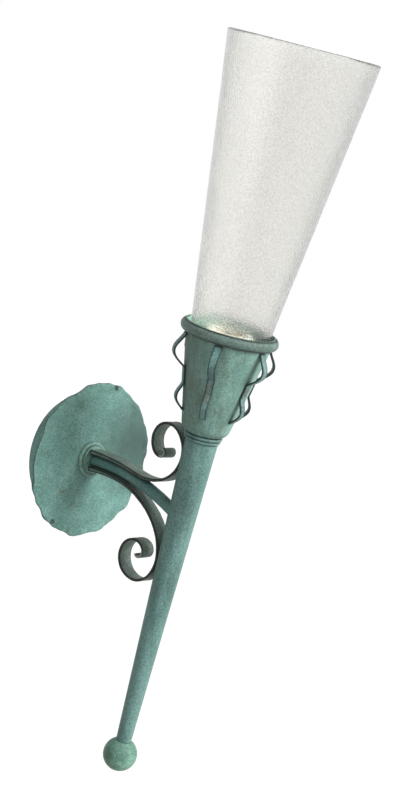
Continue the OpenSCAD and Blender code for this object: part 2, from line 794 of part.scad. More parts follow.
// a lead from the wall through collar, arm and shaft, turned aside at its top to its terminal
module lead() {
    side_x = lead_x + lead_side_bend;
    turn_s = lead_side_s - lead_side_bend;
    arm_plane() translate([0, 0, -lead_x]) {
        lead_straight([lead_back, 0], 0, boss_face - lead_back);
        lead_curve(bend_c, arm_r, quarter_turn - arm_end_a, arm_end_a);
        lead_straight(arm_end_pt, -arm_end_a, lead_run);
        lead_curve(bend_start + lead_bend * [sin(arm_end_a), cos(arm_end_a)], lead_bend,
            -quarter_turn - arm_end_a, lead_turn);
        lead_straight(bend_stop, quarter_turn - torch_tilt, turn_s - bend_stop_s);
    }
    torch_frame() rotate([quarter_turn, 0, 0]) {
        lead_curve([side_x, turn_s], lead_side_bend, quarter_turn, quarter_turn);
        lead_straight([side_x, lead_side_s], 0, term_x - term_r - lead_gap - side_x);
    }
}

module lead_black() {
    color("black") mirror([1, 0, 0]) lead();
}

module lead_white() {
    color("white") lead();
}

// ---------- drawing ----------

mounting_bar();
canopy_screws();
ground_screw();
canopy_pan();
wavy_plate();
boss_collar();
wall_nipple();
wall_washer();
wall_nut();
arm_tube();
upper_scroll();
lower_scroll();
shaft();
finial_stud();
ball_finial();
neck_collar();
torch_nipple();
cup();
cup_washer();
cup_nut();
cup_rim();
wavy_strap(1);  // wavy_strap_1
wavy_strap(2);  // wavy_strap_2
wavy_strap(3);  // wavy_strap_3
wavy_strap(4);  // wavy_strap_4
wavy_strap(5);  // wavy_strap_5
wavy_strap(6);  // wavy_strap_6
seat_ring();
seat_gasket();
glass_shade();
holder_cap();
holder_screws();
holder_body();
screw_shell();
centre_contact();
terminal_screws();
lead_black();
lead_white();
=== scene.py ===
# %% [markdown]
# # A torch sconce with a scrolled arm and a seeded glass shade
# The solids of the sconce come from CAD and are already in place. Here they get their
# finishes, and the small things that a forge and a glass works leave on such a lamp.
# Every object is in metres: the wall is the plane y = 0, the torch stands out towards -Y.

# %% Load the solids
import json
import math
import bpy
import numpy as np
from mathutils import Matrix, Vector


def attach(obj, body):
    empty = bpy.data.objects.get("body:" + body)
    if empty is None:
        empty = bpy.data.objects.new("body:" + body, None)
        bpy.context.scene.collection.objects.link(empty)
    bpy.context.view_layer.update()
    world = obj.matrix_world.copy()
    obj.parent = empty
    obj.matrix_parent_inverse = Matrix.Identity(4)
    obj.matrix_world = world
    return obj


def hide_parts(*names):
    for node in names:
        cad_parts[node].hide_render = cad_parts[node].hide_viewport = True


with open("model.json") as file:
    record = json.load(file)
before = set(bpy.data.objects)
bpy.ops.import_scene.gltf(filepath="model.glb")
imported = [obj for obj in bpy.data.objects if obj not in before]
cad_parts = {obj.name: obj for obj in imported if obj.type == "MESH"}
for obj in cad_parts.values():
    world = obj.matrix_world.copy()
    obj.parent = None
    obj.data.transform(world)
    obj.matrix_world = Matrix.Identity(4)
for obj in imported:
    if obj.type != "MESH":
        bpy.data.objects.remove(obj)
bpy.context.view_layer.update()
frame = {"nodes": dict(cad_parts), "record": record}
nodes = frame["nodes"]

# %% [markdown]
# ## Camera
# The photograph looks at the sconce from its left front, a little from above, and it leans
# the picture by a few degrees. The camera is placed by three angles and a distance about a
# point between plate and torch, and its lens is given by a focal length in picture heights.

# %% Place the camera
AZIMUTH = math.radians(-47.065)
ELEVATION = math.radians(6.075)
ROLL = math.radians(7.093)
DISTANCE = 1.31478
LOOK_AT = Vector((0.045487, -0.100, 0.065068))
PICTURE_H = 800
FOCAL_PX = 1565.1

back = Vector((math.sin(AZIMUTH) * math.cos(ELEVATION),
               -math.cos(AZIMUTH) * math.cos(ELEVATION),
               math.sin(ELEVATION)))
level_right = Vector((math.cos(AZIMUTH), math.sin(AZIMUTH), 0.0))
level_up = back.cross(level_right)
right = level_right * math.cos(ROLL) + level_up * math.sin(ROLL)
up = back.cross(right)

camera_data = bpy.data.cameras.new("camera")
camera_data.sensor_fit = "VERTICAL"
camera_data.sensor_height = 24.0
camera_data.lens = camera_data.sensor_height * FOCAL_PX / PICTURE_H
camera_data.clip_end = 50.0
camera = bpy.data.objects.new("camera", camera_data)
bpy.context.scene.collection.objects.link(camera)
turn = Matrix((right, up, back)).transposed().to_4x4()
camera.matrix_world = Matrix.Translation(LOOK_AT + DISTANCE * back) @ turn
bpy.context.scene.camera = camera
print("camera at", [round(v, 4) for v in camera.matrix_world.translation])

# %% [markdown]
# ## Studio
# The sconce was photographed on plain white with soft light from above and in front of it.
# The world is white for whatever looks at it straight, by a mirror or through glass, and
# weaker as a light, so that the white behind the sconce doesn't wash out its colours. The
# floor does the same: it glows for those rays only as much as it lacks to be white. A broad
# lamp stands for a large window in front and above, and a weak, narrow one on the left draws
# a line of light along the round pieces.

# %% World
bpy.context.scene.view_settings.view_transform = "Standard"
SKY_LIGHT = 0.35
WHITE = (1, 1, 1, 1)


def add_node(tree, kind, at, **settings):
    """A node of a tree, with its settings and its unlinked inputs given by name."""
    node = tree.nodes.new(kind)
    node.location = (at[0] * 200, at[1] * 160)
    for key, value in settings.items():
        if key in node.inputs and not hasattr(node, key):
            node.inputs[key].default_value = value
        else:
            setattr(node, key, value)
    return node


def seen_directly(tree, at):
    """1 for rays from the camera, from a gloss or through glass, 0 for scattered light."""
    path = add_node(tree, "ShaderNodeLightPath", at)
    mirror = add_node(tree, "ShaderNodeMath", (at[0] + 1, at[1]), operation="MAXIMUM")
    glass = add_node(tree, "ShaderNodeMath", (at[0] + 2, at[1]), operation="MAXIMUM")
    tree.links.new(path.outputs["Is Camera Ray"], mirror.inputs[0])
    tree.links.new(path.outputs["Is Glossy Ray"], mirror.inputs[1])
    tree.links.new(mirror.outputs[0], glass.inputs[0])
    tree.links.new(path.outputs["Is Transmission Ray"], glass.inputs[1])
    return glass.outputs[0]


world = bpy.data.worlds.new("studio")
bpy.context.scene.world = world
world.use_nodes = True
sky = world.node_tree
sky.nodes.clear()
sky_out = add_node(sky, "ShaderNodeOutputWorld", (5, 0))
sky_mix = add_node(sky, "ShaderNodeMixShader", (4, 0))
sky_light = add_node(sky, "ShaderNodeBackground", (3, -1), Color=WHITE, Strength=SKY_LIGHT)
sky_seen = add_node(sky, "ShaderNodeBackground", (3, -2), Color=WHITE, Strength=1.0)
sky.links.new(seen_directly(sky, (0, 0)), sky_mix.inputs[0])
sky.links.new(sky_light.outputs[0], sky_mix.inputs[1])
sky.links.new(sky_seen.outputs[0], sky_mix.inputs[2])
sky.links.new(sky_mix.outputs[0], sky_out.inputs["Surface"])
print("sky as a light:", SKY_LIGHT)

# %% Floor
FLOOR_Z = -0.45
FLOOR_SIZE = 12.0
FLOOR_COLOUR = (0.55, 0.55, 0.55, 1)
FLOOR_GLOW = 0.58

bpy.ops.object.select_all(action="DESELECT")
bpy.ops.mesh.primitive_plane_add(size=FLOOR_SIZE, location=(0, 0, FLOOR_Z))
floor = bpy.context.active_object
floor.name = "studio_floor"
bpy.ops.object.transform_apply(location=True, rotation=True, scale=True)
floor_finish = bpy.data.materials.new("studio_floor")
floor_finish.use_nodes = True
tree = floor_finish.node_tree
tree.nodes.clear()
floor_out = add_node(tree, "ShaderNodeOutputMaterial", (6, 0))
floor_add = add_node(tree, "ShaderNodeAddShader", (5, 0))
floor_matt = add_node(tree, "ShaderNodeBsdfDiffuse", (4, 1), Color=FLOOR_COLOUR)
floor_glow = add_node(tree, "ShaderNodeEmission", (4, -1), Color=WHITE)
floor_power = add_node(tree, "ShaderNodeMath", (3, -1), operation="MULTIPLY")
floor_power.inputs[1].default_value = FLOOR_GLOW
tree.links.new(seen_directly(tree, (0, -1)), floor_power.inputs[0])
tree.links.new(floor_power.outputs[0], floor_glow.inputs["Strength"])
tree.links.new(floor_matt.outputs[0], floor_add.inputs[0])
tree.links.new(floor_glow.outputs[0], floor_add.inputs[1])
tree.links.new(floor_add.outputs[0], floor_out.inputs["Surface"])
floor.data.materials.append(floor_finish)
print("floor at", FLOOR_Z)

# %% Lamps
LAMP_AIM = Vector((0.0, -0.13, 0.05))
KEY_SPREAD = math.radians(32)
STRIP_WIDTH = 0.12
STRIP_HEIGHT = 1.6


def hang_lamp(name, kind, toward, distance, power):
    """A lamp that shines at the torch from a direction."""
    data = bpy.data.lights.new(name, kind)
    data.energy = power
    lamp = bpy.data.objects.new(name, data)
    bpy.context.scene.collection.objects.link(lamp)
    direction = Vector(toward).normalized()
    turn = direction.to_track_quat("Z", "Y").to_matrix().to_4x4()
    lamp.matrix_world = Matrix.Translation(LAMP_AIM + distance * direction) @ turn
    return data


key_lamp = hang_lamp("key_lamp", "SUN", toward=(0.22, -1.0, 0.50), distance=3.0, power=3.55)
key_lamp.angle = KEY_SPREAD
strip_lamp = hang_lamp("strip_lamp", "AREA", toward=(-1.0, -0.12, 0.10), distance=1.6, power=1.4)
strip_lamp.shape = "RECTANGLE"
strip_lamp.size = STRIP_WIDTH
strip_lamp.size_y = STRIP_HEIGHT
print("lamps:", key_lamp.name, strip_lamp.name)

# %% [markdown]
# ## Patina
# The metal is forged iron with a green copper finish: a blue-green ground with pale bloom,
# darker stains where the finish is thin, a few spots of rust, and a fine grain all over. One
# node group mixes these from noises of several sizes, and each piece's material gives it its
# own colours. The group puts out a colour, a mask for the roughness and a height for the bump.


# %% Helpers for groups and colours
def paint(red, green, blue):
    """A colour given by three numbers from 0 to 255, as the linear colour a shader takes."""
    linear = []
    for part in (red, green, blue):
        share = part / 255
        linear.append(share / 12.92 if share <= 0.04045 else ((share + 0.055) / 1.055) ** 2.4)
    return (*linear, 1.0)


def new_group(name, inputs, outputs):
    """A shader node group with its inputs and outputs, each a (name, kind, value)."""
    group = bpy.data.node_groups.new(name, "ShaderNodeTree")
    kinds = {"colour": "NodeSocketColor", "value": "NodeSocketFloat",
             "vector": "NodeSocketVector"}
    for label, kind, value in inputs:
        socket = group.interface.new_socket(label, in_out="INPUT", socket_type=kinds[kind])
        socket.default_value = value
    for label, kind in outputs:
        group.interface.new_socket(label, in_out="OUTPUT", socket_type=kinds[kind])
    return group


def link_all(tree, *pairs):
    """Joins outputs to inputs, pair by pair."""
    for source, target in pairs:
        tree.links.new(source, target)


def noise(tree, at, vector, scale, detail=3.0, roughness=0.55):
    """A noise of a scale, read from a vector."""
    node = add_node(tree, "ShaderNodeTexNoise", at, Scale=scale, Detail=detail,
                    Roughness=roughness)
    tree.links.new(vector, node.inputs["Vector"])
    return node.outputs["Fac"]


def step_up(tree, at, value, low, high):
    """A soft step from 0 at low to 1 at high."""
    node = add_node(tree, "ShaderNodeMapRange", at, interpolation_type="SMOOTHSTEP")
    node.inputs["From Min"].default_value = low
    node.inputs["From Max"].default_value = high
    tree.links.new(value, node.inputs["Value"])
    return node.outputs["Result"]


def calc(tree, at, operation, first, second):
    """One sum of two values, each a socket or a number."""
    node = add_node(tree, "ShaderNodeMath", at, operation=operation)
    for socket, value in zip(node.inputs, (first, second)):
        if isinstance(value, (int, float)):
            socket.default_value = value
        else:
            tree.links.new(value, socket)
    return node.outputs[0]


def blend_colours(tree, at, mask, first, second, blend="MIX"):
    """Two colours mixed by a mask, each a socket or a colour."""
    node = add_node(tree, "ShaderNodeMix", at, data_type="RGBA", blend_type=blend)
    mask_in, first_in, second_in = node.inputs[0], node.inputs[6], node.inputs[7]
    for socket, value in ((mask_in, mask), (first_in, first), (second_in, second)):
        if isinstance(value, (int, float, tuple)):
            socket.default_value = value
        else:
            tree.links.new(value, socket)
    return node.outputs[2]


print("half grey as linear light:", round(paint(128, 128, 128)[0], 3))

# %% The patina group
PATCH_SCALE = 24.0
MOTTLE_SCALE = 95.0
STAIN_SCALE = MOTTLE_SCALE * 0.42
RUST_SCALE = MOTTLE_SCALE * 1.7
GRAIN_SCALE = 620.0
DUST_SCALE = 1500.0
BLOOM_STEP = (0.85, 1.2)
STAIN_STEP = (0.5, 0.68)
RUST_STEP = (0.6, 0.72)
SPECKLE_STEP = (0.36, 0.64)
GRAIN_SHARE = 0.62
DUST_SHARE = 0.38
ROUGH_SHARE = 0.5
MOTTLE_HEIGHT = 0.7
SPECKLE_HEIGHT = 0.5

patina = new_group("patina", [
    ("Ground", "colour", paint(100, 138, 129)),
    ("Bloom", "colour", paint(128, 162, 152)),
    ("Stain", "colour", paint(76, 100, 92)),
    ("Rust", "colour", paint(110, 84, 66)),
    ("Stretch", "vector", (1, 1, 1)),
    ("Bloom Amount", "value", 0.6),
    ("Stain Amount", "value", 0.6),
    ("Rust Amount", "value", 0.15),
    ("Grain Amount", "value", 0.35),
], [("Colour", "colour"), ("Rough Mask", "value"), ("Height", "value")])
g_in = add_node(patina, "NodeGroupInput", (-6, 0))
g_out = add_node(patina, "NodeGroupOutput", (8, 0))
place = add_node(patina, "ShaderNodeTexCoord", (-6, 3))
stretched = add_node(patina, "ShaderNodeMapping", (-5, 2))
link_all(patina, (place.outputs["Object"], stretched.inputs["Vector"]),
         (g_in.outputs["Stretch"], stretched.inputs["Scale"]))
patches = noise(patina, (-4, 3), stretched.outputs[0], PATCH_SCALE, 3.0)
mottle = noise(patina, (-4, 2), stretched.outputs[0], MOTTLE_SCALE, 4.0, 0.6)
stains = noise(patina, (-4, 1), stretched.outputs[0], STAIN_SCALE, 5.0, 0.62)
grain = noise(patina, (-4, 0), place.outputs["Object"], GRAIN_SCALE, 2.0, 0.6)
dust = noise(patina, (-4, -1), place.outputs["Object"], DUST_SCALE, 1.0, 0.5)
rust_spots = noise(patina, (-4, -2), place.outputs["Object"], RUST_SCALE, 4.0, 0.65)

cloudy = calc(patina, (-3, 3), "ADD", patches, mottle)
bloom_mask = calc(patina, (-1, 3), "MULTIPLY", step_up(patina, (-2, 3), cloudy, *BLOOM_STEP),
                  g_in.outputs["Bloom Amount"])
stain_mask = calc(patina, (-1, 1), "MULTIPLY", step_up(patina, (-2, 1), stains, *STAIN_STEP),
                  g_in.outputs["Stain Amount"])
rust_mask = calc(patina, (-1, -2), "MULTIPLY", step_up(patina, (-2, -2), rust_spots, *RUST_STEP),
                 g_in.outputs["Rust Amount"])
bloomed = blend_colours(patina, (1, 2), bloom_mask, g_in.outputs["Ground"],
                        g_in.outputs["Bloom"])
stained = blend_colours(patina, (2, 1), stain_mask, bloomed, g_in.outputs["Stain"])
rusted = blend_colours(patina, (3, 0), rust_mask, stained, g_in.outputs["Rust"])
print("patina's colours:", len(patina.nodes), "nodes")

# %% The patina's grain, roughness and height
speckle = calc(patina, (0, -1), "ADD", calc(patina, (-1, -1), "MULTIPLY", grain, GRAIN_SHARE),
               calc(patina, (-1, -3), "MULTIPLY", dust, DUST_SHARE))
speckle_step = step_up(patina, (1, -1), speckle, *SPECKLE_STEP)
speckle_dark = calc(patina, (2, -1), "SUBTRACT", speckle_step, 0.5)
speckle_amount = calc(patina, (3, -1), "MULTIPLY", speckle_dark, g_in.outputs["Grain Amount"])
speckle_gain = calc(patina, (4, -1), "ADD", speckle_amount, 1.0)
grey = add_node(patina, "ShaderNodeCombineColor", (5, -1))
for part in ("Red", "Green", "Blue"):
    patina.links.new(speckle_gain, grey.inputs[part])
grained = blend_colours(patina, (6, 0), 1.0, rusted, grey.outputs[0], "MULTIPLY")
rough = calc(patina, (6, -2), "ADD", calc(patina, (5, -2), "MULTIPLY", stains, ROUGH_SHARE),
             calc(patina, (5, -3), "MULTIPLY", speckle, ROUGH_SHARE))
height = calc(patina, (6, -4), "ADD", calc(patina, (5, -4), "MULTIPLY", mottle, MOTTLE_HEIGHT),
              calc(patina, (5, -5), "MULTIPLY", speckle, SPECKLE_HEIGHT))
link_all(patina, (grained, g_out.inputs["Colour"]), (rough, g_out.inputs["Rough Mask"]),
         (height, g_out.inputs["Height"]))
print("patina group:", len(patina.nodes), "nodes")

# %% [markdown]
# ## Worn edges, painted corner shade and painted side light
# Hands and the finisher's brush take the green off the edges. Corners and the places where
# parts meet are painted darker, for the shade that falls there and the dirt that stays.
# The first group compares the surface with a rounded copy of itself: where the two differ
# there is an edge. The second asks how much of the open air a point sees within a few
# millimetres. The third tells how squarely the surface faces a direction, so that a finish
# can paint one side of a round piece darker as painted shade and the other paler as painted
# light. Each puts out one mask, and a finish mixes a colour in by it.

# %% The edge, crevice and side groups
EDGE_RADIUS = 0.0017
EDGE_STEP = (0.006, 0.09)
CREVICE_REACH = 0.0045
CREVICE_STEP = (0.12, 0.75)
SIDE_STEP = (0.25, 0.95)

worn_edge = new_group("worn_edge", [("Radius", "value", EDGE_RADIUS)], [("Mask", "value")])
e_in = add_node(worn_edge, "NodeGroupInput", (0, 0))
e_out = add_node(worn_edge, "NodeGroupOutput", (7, 0))
rounded = add_node(worn_edge, "ShaderNodeBevel", (1, 0), samples=6)
surface = add_node(worn_edge, "ShaderNodeNewGeometry", (1, -2))
facing = add_node(worn_edge, "ShaderNodeVectorMath", (2, 0), operation="DOT_PRODUCT")
link_all(worn_edge, (e_in.outputs["Radius"], rounded.inputs["Radius"]),
         (rounded.outputs[0], facing.inputs[0]), (surface.outputs["Normal"], facing.inputs[1]))
turned = calc(worn_edge, (3, 0), "SUBTRACT", 1.0, facing.outputs["Value"])
worn_edge.links.new(step_up(worn_edge, (5, 0), turned, *EDGE_STEP), e_out.inputs["Mask"])

crevice = new_group("crevice", [("Reach", "value", CREVICE_REACH)], [("Mask", "value")])
c_in = add_node(crevice, "NodeGroupInput", (0, 0))
c_out = add_node(crevice, "NodeGroupOutput", (5, 0))
open_air = add_node(crevice, "ShaderNodeAmbientOcclusion", (1, 0), samples=6)
crevice.links.new(c_in.outputs["Reach"], open_air.inputs["Distance"])
closed = calc(crevice, (2, 0), "SUBTRACT", 1.0, open_air.outputs["AO"])
crevice.links.new(step_up(crevice, (3, 0), closed, *CREVICE_STEP), c_out.inputs["Mask"])

turned_to = new_group("turned_to", [("Direction", "vector", (0, 0, 1))], [("Mask", "value")])
t_in = add_node(turned_to, "NodeGroupInput", (0, 0))
t_out = add_node(turned_to, "NodeGroupOutput", (5, 0))
skin = add_node(turned_to, "ShaderNodeNewGeometry", (0, -2))
along = add_node(turned_to, "ShaderNodeVectorMath", (1, 0), operation="DOT_PRODUCT")
link_all(turned_to, (skin.outputs["Normal"], along.inputs[0]),
         (t_in.outputs["Direction"], along.inputs[1]))
turned_to.links.new(step_up(turned_to, (3, 0), along.outputs["Value"], *SIDE_STEP),
                    t_out.inputs["Mask"])
print("mask groups:", worn_edge.name, crevice.name, turned_to.name)

# %% [markdown]
# ## Finishes of the iron
# Every iron piece has the same finish, but the sheet metal is greener and the flat bars and
# the tube were left darker and browner. So one function makes a finish from three colours
# and a few amounts, and the pieces differ only in those. A piece can also say by a number at
# each of its points which points are dark, for a worn edge and for painted shade, which lie
# in a darker patch and which are rubbed bright. On a piece that says nothing, these
# attributes read as 0 and change nothing.


# %% A patina finish
def group_node(tree, group, at, **values):
    """A node that holds a group, with values for its inputs (an underscore is a space)."""
    node = add_node(tree, "ShaderNodeGroup", at, node_tree=group)
    for key, value in values.items():
        node.inputs[key.replace("_", " ")].default_value = value
    return node


def new_finish(name):
    """A material with nodes, and with it its tree and its shader."""
    finish = bpy.data.materials.new(name)
    finish.use_nodes = True
    return finish, finish.node_tree, finish.node_tree.nodes["Principled BSDF"]


EDGE_DARK = paint(26, 28, 25)
CORNER_SHADE_AND_DIRT = paint(34, 44, 40)
DARK_PATCH = paint(62, 86, 80)
RUBBED = paint(186, 200, 188)
# Painted shade and painted light: the side of a round piece that faces left towards the wall is
# painted darker and browner, the side that faces right and out is painted paler.
SHADED_SIDE_PAINT = paint(92, 108, 96)
LIT_SIDE_PAINT = paint(152, 190, 174)
PAINTED_SIDE_LIGHT = (((-0.68, 0.73, 0), SHADED_SIDE_PAINT, 1.0), ((0.68, -0.73, 0), LIT_SIDE_PAINT, 0.55))
IRON_SPECULAR = 0.3
RAGGED_STEP = (0.2, 0.46)
RELIEF_DEPTH = 0.0006


def iron_finish(name, edge=0.85, corner_shade=0.6, rough_low=0.42, rough_high=0.68, bump=0.25,
                edge_colour=EDGE_DARK, painted_sides=0.0, **amounts):
    """A green finish on iron: patina, painted shade on one side and painted light on the other,
    dark edges, and corners painted dark for shade and dirt.

    edge, corner_shade and painted_sides say how strongly the edges, the corners and the painted
    sides show, and the amounts go to the patina group."""
    finish, tree, shader = new_finish(name)
    shader.inputs["Specular IOR Level"].default_value = IRON_SPECULAR
    coat = group_node(tree, patina, (-5, 0), **amounts)
    colour = coat.outputs["Colour"]
    # Painted shade on one side and painted light on the other, by how squarely the surface faces
    # each direction.
    for side, (direction, tone, strength) in enumerate(PAINTED_SIDE_LIGHT):
        facing_side = group_node(tree, turned_to, (-7, 2 + side), Direction=direction)
        amount = calc(tree, (-6, 2 + side), "MULTIPLY", facing_side.outputs["Mask"],
                      painted_sides * strength)
        colour = blend_colours(tree, (-4 + side, 2), amount, colour, tone)
    edges = group_node(tree, worn_edge, (-5, -2))
    cracks = group_node(tree, crevice, (-5, -3))
    marked_edge = add_node(tree, "ShaderNodeAttribute", (-6, -2), attribute_name="edge")
    either = calc(tree, (-5, -1), "MAXIMUM", edges.outputs["Mask"], marked_edge.outputs["Fac"])
    ragged = calc(tree, (-4, -2), "MULTIPLY", either,
                  step_up(tree, (-5, -4), coat.outputs["Rough Mask"], *RAGGED_STEP))
    edge_mask = calc(tree, (-3, -2), "MULTIPLY", ragged, edge)
    # Painted shade, with some dirt: corners and contacts that the crevice group finds are
    # darkened.
    corner_shade_mask = calc(tree, (-3, -3), "MULTIPLY", cracks.outputs["Mask"], corner_shade)
    edged = blend_colours(tree, (-2, 0), edge_mask, colour, edge_colour)
    corner_shaded = blend_colours(tree, (-1, 0), corner_shade_mask, edged, CORNER_SHADE_AND_DIRT)
    # A darker patch that a piece writes at its points.
    dark_patch_share = add_node(tree, "ShaderNodeAttribute", (-2, 2), attribute_name="dark_patch")
    patched = blend_colours(tree, (0, 1), dark_patch_share.outputs["Fac"], corner_shaded, DARK_PATCH)
    rub = add_node(tree, "ShaderNodeAttribute", (0, 2), attribute_name="rub")
    rubbed = blend_colours(tree, (1, 1), rub.outputs["Fac"], patched, RUBBED)
    roughness = add_node(tree, "ShaderNodeMapRange", (-2, -4))
    roughness.inputs["To Min"].default_value = rough_low
    roughness.inputs["To Max"].default_value = rough_high
    relief = add_node(tree, "ShaderNodeBump", (-2, -6), Strength=bump, Distance=RELIEF_DEPTH)
    link_all(tree, (rubbed, shader.inputs["Base Color"]),
             (coat.outputs["Rough Mask"], roughness.inputs["Value"]),
             (roughness.outputs[0], shader.inputs["Roughness"]),
             (coat.outputs["Height"], relief.inputs["Height"]),
             (relief.outputs[0], shader.inputs["Normal"]))
    return finish


def dress(finish, *names):
    """Gives a finish to CAD nodes."""
    for name in names:
        nodes[name].data.materials.clear()
        nodes[name].data.materials.append(finish)


print("sides of the round pieces that differ:", len(PAINTED_SIDE_LIGHT))

# %% Finishes of the sheet, the turned pieces and the bars
UPRIGHT = (1, 1, 0.22)
STRAPS = ["wavy_strap_%d" % number for number in range(1, 7)]

plate_finish = iron_finish("plate_green", Ground=paint(107, 149, 140), Bloom=paint(124, 165, 156),
                           Stain=paint(88, 112, 100), Rust_Amount=0.4, Bloom_Amount=0.7,
                           Stain_Amount=0.65, Grain_Amount=0.55)
boss_finish = iron_finish("boss_green", Ground=paint(120, 158, 145), Bloom=paint(136, 172, 160),
                          Stain=paint(96, 118, 105), corner_shade=0.1, edge=0.6, Rust_Amount=0.2,
                          Bloom_Amount=0.7, Stain_Amount=0.6, Grain_Amount=0.6)
shaft_finish = iron_finish("shaft_green", Ground=paint(93, 128, 122), Bloom=paint(115, 151, 145),
                           Stain=paint(70, 92, 86), painted_sides=0.2, Stretch=UPRIGHT, Bloom_Amount=0.75,
                           Stain_Amount=0.6, Rust_Amount=0.12, Grain_Amount=0.6)
cup_finish = iron_finish("cup_green", Ground=paint(110, 146, 136), Bloom=paint(136, 172, 160),
                         Stain=paint(88, 106, 92), corner_shade=0.1, painted_sides=0.62, Stretch=UPRIGHT,
                         Bloom_Amount=0.7, Stain_Amount=0.7, Rust_Amount=0.3, Grain_Amount=0.5)
ball_finish = iron_finish("ball_green", Ground=paint(96, 136, 121), Bloom=paint(126, 168, 147),
                          Stain=paint(74, 92, 80), Bloom_Amount=0.9, Stain_Amount=0.6,
                          Rust_Amount=0.5, Grain_Amount=0.6)
rim_finish = iron_finish("rim_green", Ground=paint(98, 122, 113), Bloom=paint(124, 146, 136),
                         Stain=paint(92, 88, 78), Bloom_Amount=0.6, Stain_Amount=0.9,
                         Rust_Amount=0.5, corner_shade=0.2, Grain_Amount=0.6)
tube_finish = iron_finish("tube_dark", Ground=paint(94, 132, 126), Bloom=paint(114, 150, 144),
                          Stain=paint(58, 76, 73), corner_shade=0.4, Bloom_Amount=0.5, Stain_Amount=0.7,
                          Rust_Amount=0.2, Grain_Amount=0.6)
bar_finish = iron_finish("bar_dark", Ground=paint(102, 122, 113), Bloom=paint(126, 140, 129),
                         Stain=paint(78, 88, 80), corner_shade=0.2, Bloom_Amount=0.7, Stain_Amount=0.7,
                         Rust_Amount=0.45, Grain_Amount=0.6, edge=1.0)
strap_finish = iron_finish("strap_green", Ground=paint(100, 136, 132), Bloom=paint(128, 162, 160),
                           Stain=paint(90, 82, 72), Bloom_Amount=0.6, Stain_Amount=0.9,
                           Rust_Amount=0.4, Grain_Amount=0.6)
dress(plate_finish, "wavy_plate", "canopy_pan", "canopy_screws")
dress(shaft_finish, "shaft", "neck_collar")
dress(boss_finish, "boss_collar")
dress(cup_finish, "cup")
dress(ball_finish, "ball_finial")
dress(rim_finish, "cup_rim")
dress(tube_finish, "arm_tube")
dress(bar_finish, "upper_scroll", "lower_scroll")
dress(strap_finish, *STRAPS)
print("iron finishes: 9")

# %% [markdown]
# ## Glass
# The shade is seeded glass: clear, a little warm and grey, with small bubbles close together
# and a soft, pebbled skin. Light comes through it but no sharp picture does. So the surface
# is clear glass with some roughness, a tint that a noise speckles, and a bump from the seeds
# and the same noise. Seen side on, the tint is painted paler, as painted light on the glass's
# darker sides. Down at the foot, grey dots are painted round the seeds as painted shade, for
# the dark inside of the cup seen through them. Glass throws a heavy shadow in a render, so
# a ray that only asks for shadow meets a pale, see-through shader.

# %% Seeded glass
SEED_SCALE = 480.0
SEED_STEP = (0.05, 0.3)
SEED_HEIGHT = 0.4
DOT_STEP = (0.2, 0.45)
PEBBLE_SCALE = 820.0
PEBBLE_STEP = (0.35, 0.65)
SPECKLE_GREY = (0.775, 0.772, 0.744, 1)
SPECKLE_PALE = (0.955, 0.95, 0.922, 1)
FOOT_PAINTED_SHADE = (0.30, 0.30, 0.28, 1)
SIDE_ON_PAINTED_LIGHT = (1, 1, 0.995, 1)
SHADOW_TINT = (0.88, 0.88, 0.86, 1)

glass_finish, tree, shader = new_finish("seeded_glass")
shader.inputs["Transmission Weight"].default_value = 1.0
shader.inputs["IOR"].default_value = 1.45
shader.inputs["Roughness"].default_value = 0.22
where = add_node(tree, "ShaderNodeTexCoord", (-6, 0))
seeds = add_node(tree, "ShaderNodeTexVoronoi", (-5, 0), Scale=SEED_SCALE)
tree.links.new(where.outputs["Object"], seeds.inputs["Vector"])
pebbles = noise(tree, (-5, -2), where.outputs["Object"], PEBBLE_SCALE, 1.0, 0.6)
side_on = add_node(tree, "ShaderNodeLayerWeight", (-5, 3), Blend=0.42)
seed_dots = step_up(tree, (-4, 0), seeds.outputs["Distance"], *SEED_STEP)
speckled = blend_colours(tree, (-2, 1), step_up(tree, (-3, 1), pebbles, *PEBBLE_STEP),
                         SPECKLE_GREY, SPECKLE_PALE)
# Painted shade: grey dots round the seeds near the foot, for the cup's dark inside seen through
# the glass.
low_down = add_node(tree, "ShaderNodeAttribute", (-5, 4), attribute_name="foot")
near_seed = calc(tree, (-4, 5), "SUBTRACT", 1.0,
                 step_up(tree, (-5, 5), seeds.outputs["Distance"], *DOT_STEP))
foot_shade_dots = calc(tree, (-3, 4), "MULTIPLY", near_seed, low_down.outputs["Fac"])
foot_shaded = blend_colours(tree, (-2, 3), foot_shade_dots, speckled, FOOT_PAINTED_SHADE)
# Painted light: the tint turns paler where the glass is seen side on.
side_lit_tint = blend_colours(tree, (-1, 1), side_on.outputs["Facing"], foot_shaded, SIDE_ON_PAINTED_LIGHT)
relief_sum = calc(tree, (-3, -1), "ADD",
                  calc(tree, (-4, -1), "MULTIPLY", seed_dots, SEED_HEIGHT), pebbles)
relief = add_node(tree, "ShaderNodeBump", (-1, -2), Strength=0.42, Distance=0.0005)
link_all(tree, (side_lit_tint, shader.inputs["Base Color"]), (relief_sum, relief.inputs["Height"]),
         (relief.outputs[0], shader.inputs["Normal"]))
print("seeds about", round(1000 / SEED_SCALE, 1), "mm apart")

# %% The glass's shadow
light_path = add_node(tree, "ShaderNodeLightPath", (1, 3))
let_through = add_node(tree, "ShaderNodeBsdfTransparent", (1, -3), Color=SHADOW_TINT)
glass_or_light = add_node(tree, "ShaderNodeMixShader", (3, 0))
link_all(tree, (light_path.outputs["Is Shadow Ray"], glass_or_light.inputs[0]),
         (shader.outputs[0], glass_or_light.inputs[1]),
         (let_through.outputs[0], glass_or_light.inputs[2]),
         (glass_or_light.outputs[0], tree.nodes["Material Output"].inputs["Surface"]))
dress(glass_finish, "glass_shade")
print(glass_finish.name + ":", len(tree.nodes), "nodes")

